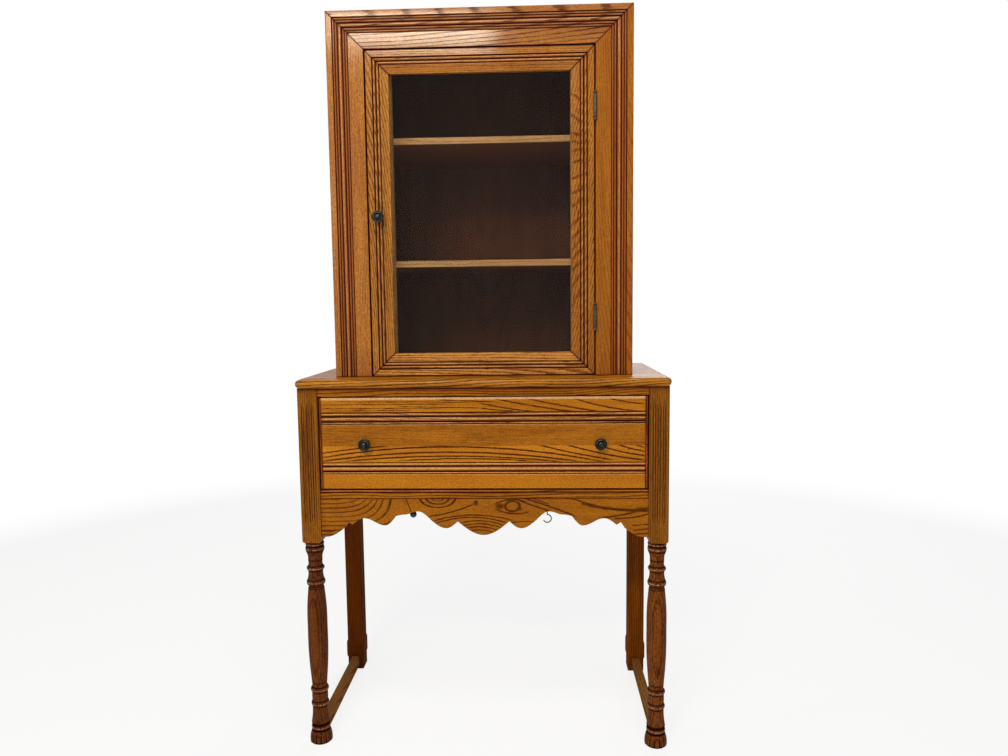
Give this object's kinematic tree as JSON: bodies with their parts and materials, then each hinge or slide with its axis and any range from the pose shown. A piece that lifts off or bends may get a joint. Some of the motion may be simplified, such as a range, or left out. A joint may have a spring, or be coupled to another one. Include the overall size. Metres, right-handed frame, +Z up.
{
  "type": "display cabinet",
  "caption": "Tall oak display cabinet: glazed upper case with a moulded frame door and shelves, on a case with a wide drawer, scalloped apron and turned front legs.",
  "frame": {"origin": "on the floor, in the middle of the outline", "axes": "+Z up, front facing -Y, +X to the right seen from the front"},
  "size_m": [0.852, 0.448, 1.7],
  "materials": {
    "oak": "satin",
    "oak_inside": "satin",
    "oak_dark": "gloss",
    "back_board": "matte",
    "pane": "gloss",
    "bronze": "satin",
    "steel": "satin",
    "black_plastic": "gloss"
  },
  "bodies": {
    "cabinet": {"left_front_post": "oak", "right_front_post": "oak", "left_front_leg": "oak_dark", "right_front_leg": "oak_dark", "left_back_leg": "oak_dark", "right_back_leg": "oak", "left_stretcher": "oak", "right_stretcher": "oak", "left_case_side": "oak", "right_case_side": "oak", "case_back": "back_board", "case_top_rail": "oak", "case_lower_rail": "oak", "apron": "oak", "dust_board": "oak_inside", "left_drawer_runner": "oak_inside", "right_drawer_runner": "oak_inside", "drawer_kickers": "oak_inside", "drawer_stops": "oak_inside", "top_board": "oak", "ring_hook": "steel", "ball_peg": "black_plastic", "left_face_stile": "oak", "right_face_stile": "oak", "top_face_rail": "oak", "left_upper_side": "oak", "right_upper_side": "oak", "upper_top_panel": "oak", "upper_bottom_panel": "oak_inside", "upper_back": "back_board", "upper_shelf": "oak_inside", "lower_shelf": "oak_inside", "upper_shelf_cleats": "oak_inside", "lower_shelf_cleats": "oak_inside", "left_stop_board": "oak_inside", "right_stop_board": "oak_inside", "case_hinge_leaves": "bronze", "hinge_pins": "bronze", "case_hinge_screws": "bronze", "door_catch": "black_plastic"},
    "door": {"door_left_stile": "oak", "door_right_stile": "oak", "door_top_rail": "oak", "door_bottom_rail": "oak", "door_glass": "pane", "glazing_beads": "oak_inside", "door_knob": "bronze", "door_knob_screw": "steel", "door_hinge_leaves": "bronze", "door_hinge_screws": "bronze", "catch_plate": "steel"},
    "drawer": {"drawer_front": "oak", "drawer_left_side": "oak_inside", "drawer_right_side": "oak_inside", "drawer_back": "oak_inside", "drawer_bottom": "oak_inside", "drawer_knobs": "bronze", "drawer_knob_screws": "steel", "drawer_end_beads": "oak"}
  },
  "joints": [
    {"name": "door_hinge", "type": "hinge", "parent": "cabinet", "child": "door", "pos_m": [0.26, -0.1435, 1.243], "axis": [0, 0, 1], "range_deg": [0, 170]},
    {"name": "drawer_slide", "type": "slide", "parent": "cabinet", "child": "drawer", "axis": [0, -1, 0], "range_m": [0, 0.29]}
  ]
}
